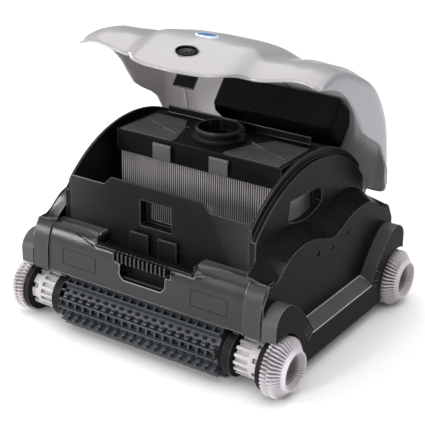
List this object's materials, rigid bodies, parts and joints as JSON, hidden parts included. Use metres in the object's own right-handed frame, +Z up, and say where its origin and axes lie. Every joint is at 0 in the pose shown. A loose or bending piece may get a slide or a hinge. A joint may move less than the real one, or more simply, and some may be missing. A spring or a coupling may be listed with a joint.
{
  "type": "robotic pool cleaner",
  "caption": "Robotic pool cleaner with a raised hinged lid, pleated filter cartridge, scrubbing brushes and finned wheels.",
  "frame": {"origin": "on the floor under the middle of the wheelbase, lid open as stored", "axes": "+X along the axles to the right-hand wheels, -Y towards the grip, +Y towards the lid hinge, +Z up"},
  "size_m": [0.43, 0.3716, 0.3854],
  "materials": {
    "shell_black": "satin moulded plastic",
    "trim_black": "matte moulded plastic",
    "lid_silver": "pearl silver",
    "wheel_grey": "pale grey moulded plastic",
    "brush_slate": "soft brush compound",
    "pleat_fabric": "pleated filter fabric",
    "cover_grey": "matte",
    "clip_grey": "matte",
    "steel": "brushed",
    "gear_plastic": "matte",
    "blue": "gloss"
  },
  "bodies": {
    "chassis": {"base_tray": "trim_black", "front_wall": "trim_black", "rear_wall": "trim_black", "grip_tray": "trim_black", "grip_comb": "trim_black", "latch_tabs": "trim_black", "hinge_brackets": "trim_black", "pump_motor": "trim_black", "arch_wall_left": "trim_black", "front_axle_carrier_left": "trim_black", "rear_axle_carrier_left": "trim_black", "drive_gearbox_left": "trim_black", "side_cover_left": "shell_black", "fender_cover_left": "shell_black", "pleats_left": "pleat_fabric", "filter_cover_left": "cover_grey", "arch_wall_right": "trim_black", "front_axle_carrier_right": "trim_black", "rear_axle_carrier_right": "trim_black", "drive_gearbox_right": "trim_black", "side_cover_right": "shell_black", "fender_cover_right": "shell_black", "pleats_right": "pleat_fabric", "filter_cover_right": "cover_grey", "front_bumper": "shell_black", "rear_bumper": "shell_black", "hinge_pins": "steel", "panel_screws": "steel", "cord_gland": "blue", "filter_frame": "trim_black", "filter_base": "trim_black", "filter_collar": "trim_black", "pleats_front": "pleat_fabric", "pleats_rear": "pleat_fabric"},
    "lid": {"lid_shell": "lid_silver", "lid_nose": "lid_silver", "lid_port_grille": "trim_black", "lid_badge": "blue", "lid_catch": "trim_black", "lid_duct": "trim_black", "lid_arms": "lid_silver"},
    "front_axle": {"front_axle_shaft": "steel", "front_brush": "brush_slate", "front_gear_bushing_left": "wheel_grey", "front_gear_bushing_right": "wheel_grey", "front_wheel_left": "wheel_grey", "front_wheel_right": "wheel_grey"},
    "rear_axle": {"rear_axle_shaft": "steel", "rear_brush": "brush_slate", "rear_gear_bushing_left": "wheel_grey", "rear_gear_bushing_right": "wheel_grey", "rear_wheel_left": "wheel_grey", "rear_wheel_right": "wheel_grey"},
    "front_pinion": {"front_drive_pinion": "gear_plastic"},
    "rear_pinion": {"rear_drive_pinion": "gear_plastic"},
    "impeller": {"pump_impeller": "trim_black"},
    "front_flap": {"front_intake_flap": "trim_black"},
    "rear_flap": {"rear_intake_flap": "trim_black"},
    "clip_left": {"filter_clip_left": "clip_grey"},
    "clip_right": {"filter_clip_right": "clip_grey"}
  },
  "joints": [
    {"name": "lid_hinge", "type": "hinge", "parent": "chassis", "child": "lid", "pos_m": [0, 0.143, 0.145], "axis": [1, 0, 0], "range_deg": [-12, 39]},
    {"name": "front_axle_spin", "type": "hinge", "parent": "chassis", "child": "front_axle", "pos_m": [0, -0.1475, 0.0383], "axis": [1, 0, 0], "continuous": true},
    {"name": "rear_axle_spin", "type": "hinge", "parent": "chassis", "child": "rear_axle", "pos_m": [0, 0.1475, 0.0383], "axis": [1, 0, 0], "continuous": true},
    {"name": "front_pinion_spin", "type": "hinge", "parent": "chassis", "child": "front_pinion", "pos_m": [-0.156, -0.12771, 0.06656], "axis": [1, 0, 0], "continuous": true},
    {"name": "rear_pinion_spin", "type": "hinge", "parent": "chassis", "child": "rear_pinion", "pos_m": [0.156, 0.12771, 0.06656], "axis": [1, 0, 0], "continuous": true},
    {"name": "impeller_spin", "type": "hinge", "parent": "chassis", "child": "impeller", "pos_m": [0, 0.005, 0.2], "axis": [0, 0, 1], "continuous": true},
    {"name": "front_flap_swing", "type": "hinge", "parent": "chassis", "child": "front_flap", "pos_m": [0, -0.054, 0.027], "axis": [1, 0, 0], "range_deg": [-70, 0]},
    {"name": "rear_flap_swing", "type": "hinge", "parent": "chassis", "child": "rear_flap", "pos_m": [0, 0.054, 0.027], "axis": [1, 0, 0], "range_deg": [0, 70]},
    {"name": "clip_left_swing", "type": "hinge", "parent": "chassis", "child": "clip_left", "pos_m": [-0.05, -0.0523, 0.236], "axis": [1, 0, 0], "range_deg": [-60, 0]},
    {"name": "clip_right_swing", "type": "hinge", "parent": "chassis", "child": "clip_right", "pos_m": [0.038, -0.0523, 0.236], "axis": [1, 0, 0], "range_deg": [-60, 0]}
  ],
  "couplings": [
    {"joint": "front_pinion_spin", "follows": "front_axle_spin", "ratio": -2},
    {"joint": "rear_pinion_spin", "follows": "rear_axle_spin", "ratio": -2}
  ]
}
